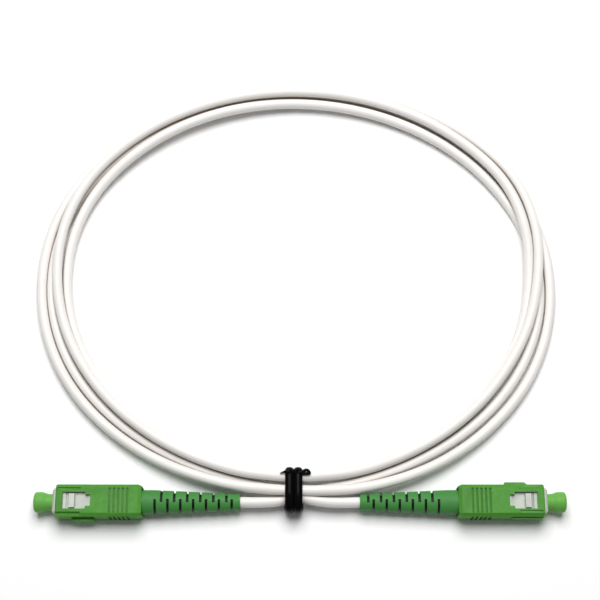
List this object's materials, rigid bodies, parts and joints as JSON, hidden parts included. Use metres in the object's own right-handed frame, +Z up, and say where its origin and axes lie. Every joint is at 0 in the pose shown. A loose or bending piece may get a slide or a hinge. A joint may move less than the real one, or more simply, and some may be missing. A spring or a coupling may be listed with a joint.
{
  "type": "fiber optic patch cord",
  "caption": "Coiled and tied simplex fiber optic patch cord with two push-pull square plugs, slotted strain-relief boots and dust caps.",
  "frame": {"origin": "on the surface that the cord lies on, midway between the two plugs and under their common axis", "axes": "+X along the plugs' axis to the right plug's tip, +Y towards the coil, +Z up"},
  "size_m": [0.1532, 0.1368, 0.0086],
  "materials": {
    "housing": "moulded, satin, angled-polish green",
    "frame": "moulded, satin off-white",
    "cap": "soft moulded, satin bright green",
    "ceramic": "ground zirconia ceramic, glossy",
    "nickel": "turned, nickel plated",
    "spring": "drawn spring wire",
    "stop_ring": "turned brass",
    "yarn": "yellow aramid fibre",
    "crimp": "drawn, satin",
    "buffer": "extruded, white",
    "jacket": "extruded, satin white",
    "boot": "moulded elastomer, satin green",
    "tie": "glossy black plastic coating"
  },
  "bodies": {
    "cord": {"plug_frame_left": "frame", "ferrule_spring_left": "spring", "stop_ring_left": "stop_ring", "aramid_yarn_left": "yarn", "crimp_sleeve_left": "crimp", "fiber_buffer_left": "buffer", "jacket_tail_left": "jacket", "strain_boot_left": "boot", "plug_frame_right": "frame", "ferrule_spring_right": "spring", "stop_ring_right": "stop_ring", "aramid_yarn_right": "yarn", "crimp_sleeve_right": "crimp", "fiber_buffer_right": "buffer", "jacket_tail_right": "jacket", "strain_boot_right": "boot", "cord_coil": "jacket", "cord_lead_left": "jacket", "cord_lead_right": "jacket", "twist_tie": "tie"},
    "grip_left": {"outer_housing_left": "housing"},
    "ferrule_left": {"ferrule_left": "ceramic", "ferrule_flange_left": "nickel"},
    "cap_left": {"dust_cap_left": "cap"},
    "grip_right": {"outer_housing_right": "housing"},
    "ferrule_right": {"ferrule_right": "ceramic", "ferrule_flange_right": "nickel"},
    "cap_right": {"dust_cap_right": "cap"}
  },
  "joints": [
    {"name": "grip_slide_left", "type": "slide", "parent": "cord", "child": "grip_left", "axis": [1, 0, 0], "range_m": [0, 0.0016]},
    {"name": "ferrule_float_left", "type": "slide", "parent": "cord", "child": "ferrule_left", "axis": [1, 0, 0], "range_m": [0, 0.001], "stiffness_N_per_m": 1000, "deforming": ["ferrule_spring_left"]},
    {"name": "cap_pull_left", "type": "slide", "parent": "cord", "child": "cap_left", "axis": [-1, 0, 0], "range_m": [0, 0.012]},
    {"name": "grip_slide_right", "type": "slide", "parent": "cord", "child": "grip_right", "axis": [-1, 0, 0], "range_m": [0, 0.0016]},
    {"name": "ferrule_float_right", "type": "slide", "parent": "cord", "child": "ferrule_right", "axis": [-1, 0, 0], "range_m": [0, 0.001], "stiffness_N_per_m": 1000, "deforming": ["ferrule_spring_right"]},
    {"name": "cap_pull_right", "type": "slide", "parent": "cord", "child": "cap_right", "axis": [1, 0, 0], "range_m": [0, 0.012]}
  ]
}
